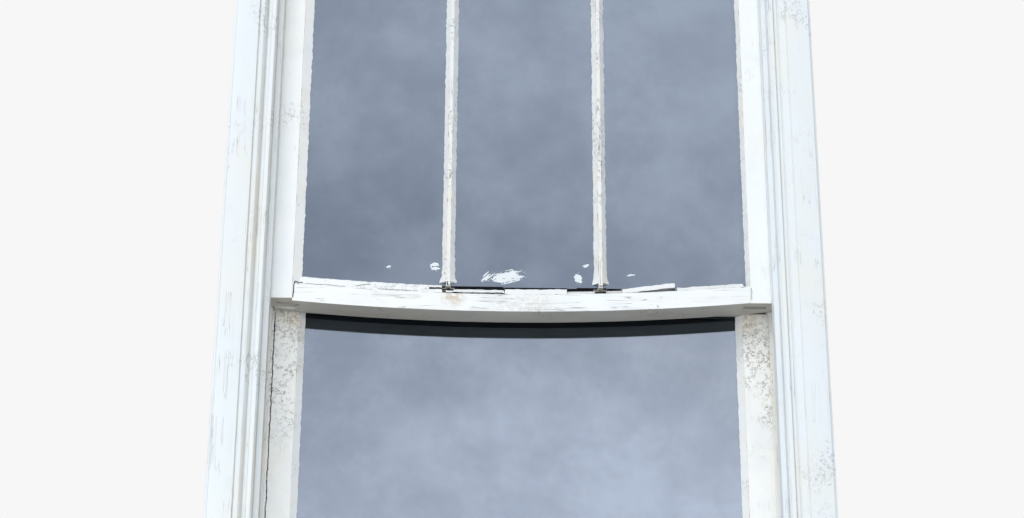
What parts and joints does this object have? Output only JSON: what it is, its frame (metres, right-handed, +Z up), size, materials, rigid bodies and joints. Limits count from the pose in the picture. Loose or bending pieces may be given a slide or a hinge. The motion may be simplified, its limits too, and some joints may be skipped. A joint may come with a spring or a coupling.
{
  "type": "sash window",
  "caption": "Weathered timber double-hung sash window with box frame, sagged check rail, tall upper panes over one lower pane, weights, pulleys and chains.",
  "frame": {"origin": "middle of the sill's flat underside, in the plane of the outside casing's front face", "axes": "+X to the right seen from outside, +Y into the building, +Z up"},
  "size_m": [1.036, 0.28, 1.7019],
  "materials": {
    "painted_wood": "matte",
    "inside_wood": "matte",
    "putty": "matte",
    "glass": "gloss",
    "cast_iron": "matte",
    "wheel_iron": "satin",
    "pulley_brass": "satin",
    "chain_steel": "satin",
    "brass": "satin"
  },
  "bodies": {
    "frame": {"back_lining_left": "inside_wood", "back_lining_right": "inside_wood", "brickmould_head": "painted_wood", "brickmould_left": "painted_wood", "brickmould_right": "painted_wood", "head_jamb": "inside_wood", "inside_lining_left": "inside_wood", "inside_lining_right": "inside_wood", "lower_chain_left": "chain_steel", "lower_chain_right": "chain_steel", "lower_pulley_case_left": "pulley_brass", "lower_pulley_case_right": "pulley_brass", "outside_casing_head": "painted_wood", "outside_casing_left": "painted_wood", "outside_casing_right": "painted_wood", "parting_bead_head": "painted_wood", "parting_bead_left": "painted_wood", "parting_bead_right": "painted_wood", "pocket_cover_left": "inside_wood", "pocket_cover_right": "inside_wood", "pulley_stile_left": "inside_wood", "pulley_stile_right": "inside_wood", "sill": "painted_wood", "stool": "inside_wood", "stop_bead_head": "inside_wood", "stop_bead_left": "inside_wood", "stop_bead_right": "inside_wood", "upper_chain_left": "chain_steel", "upper_chain_right": "chain_steel", "upper_pulley_case_left": "pulley_brass", "upper_pulley_case_right": "pulley_brass"},
    "upper_sash": {"lock_keeper": "brass", "rail_putty": "putty", "upper_pane_left": "glass", "upper_pane_middle": "glass", "upper_pane_right": "glass", "upper_putty": "putty", "upper_sash_check_rail": "painted_wood", "upper_sash_muntin_left": "painted_wood", "upper_sash_muntin_right": "painted_wood", "upper_sash_stile_left": "painted_wood", "upper_sash_stile_right": "painted_wood", "upper_sash_top_rail": "painted_wood"},
    "lower_sash": {"lock_base": "brass", "lower_pane": "glass", "lower_putty": "putty", "lower_sash_bottom_rail": "painted_wood", "lower_sash_check_rail": "painted_wood", "lower_sash_stile_left": "painted_wood", "lower_sash_stile_right": "painted_wood", "sash_lifts": "brass"},
    "lock_lever": {"lock_lever": "brass"},
    "upper_weight_left": {"upper_weight_left": "cast_iron"},
    "upper_wheel_left": {"upper_pulley_wheel_left": "wheel_iron"},
    "upper_weight_right": {"upper_weight_right": "cast_iron"},
    "upper_wheel_right": {"upper_pulley_wheel_right": "wheel_iron"},
    "lower_weight_left": {"lower_weight_left": "cast_iron"},
    "lower_wheel_left": {"lower_pulley_wheel_left": "wheel_iron"},
    "lower_weight_right": {"lower_weight_right": "cast_iron"},
    "lower_wheel_right": {"lower_pulley_wheel_right": "wheel_iron"}
  },
  "joints": [
    {"name": "upper_sash_slide", "type": "slide", "parent": "frame", "child": "upper_sash", "axis": [0, 0, 1], "range_m": [-0.68, 0], "deforming": ["upper_chain_left", "upper_chain_right"]},
    {"name": "lower_sash_slide", "type": "slide", "parent": "frame", "child": "lower_sash", "axis": [0, 0, 1], "range_m": [0, 0.68], "deforming": ["lower_chain_left", "lower_chain_right"]},
    {"name": "lock_lever_turn", "type": "hinge", "parent": "lower_sash", "child": "lock_lever", "pos_m": [0, 0.092, 0.86186], "axis": [0, 0, 1], "range_deg": [-180, 0]},
    {"name": "upper_weight_left_slide", "type": "slide", "parent": "frame", "child": "upper_weight_left", "axis": [0, 0, 1], "range_m": [0, 0.68]},
    {"name": "upper_wheel_left_turn", "type": "hinge", "parent": "frame", "child": "upper_wheel_left", "pos_m": [-0.4635, 0.045, 1.53336], "axis": [0, 1, 0], "continuous": true},
    {"name": "upper_weight_right_slide", "type": "slide", "parent": "frame", "child": "upper_weight_right", "axis": [0, 0, 1], "range_m": [0, 0.68]},
    {"name": "upper_wheel_right_turn", "type": "hinge", "parent": "frame", "child": "upper_wheel_right", "pos_m": [0.4635, 0.045, 1.53336], "axis": [0, 1, 0], "continuous": true},
    {"name": "lower_weight_left_slide", "type": "slide", "parent": "frame", "child": "lower_weight_left", "axis": [0, 0, 1], "range_m": [-0.68, 0]},
    {"name": "lower_wheel_left_turn", "type": "hinge", "parent": "frame", "child": "lower_wheel_left", "pos_m": [-0.4635, 0.104, 1.53336], "axis": [0, 1, 0], "continuous": true},
    {"name": "lower_weight_right_slide", "type": "slide", "parent": "frame", "child": "lower_weight_right", "axis": [0, 0, 1], "range_m": [-0.68, 0]},
    {"name": "lower_wheel_right_turn", "type": "hinge", "parent": "frame", "child": "lower_wheel_right", "pos_m": [0.4635, 0.104, 1.53336], "axis": [0, 1, 0], "continuous": true}
  ],
  "couplings": [
    {"joint": "upper_weight_left_slide", "follows": "upper_sash_slide", "ratio": -1},
    {"joint": "upper_wheel_left_turn", "follows": "upper_sash_slide", "rad_per_m": -42.553},
    {"joint": "upper_weight_right_slide", "follows": "upper_sash_slide", "ratio": -1},
    {"joint": "upper_wheel_right_turn", "follows": "upper_sash_slide", "rad_per_m": 42.553},
    {"joint": "lower_weight_left_slide", "follows": "lower_sash_slide", "ratio": -1},
    {"joint": "lower_wheel_left_turn", "follows": "lower_sash_slide", "rad_per_m": -42.553},
    {"joint": "lower_weight_right_slide", "follows": "lower_sash_slide", "ratio": -1},
    {"joint": "lower_wheel_right_turn", "follows": "lower_sash_slide", "rad_per_m": 42.553}
  ]
}
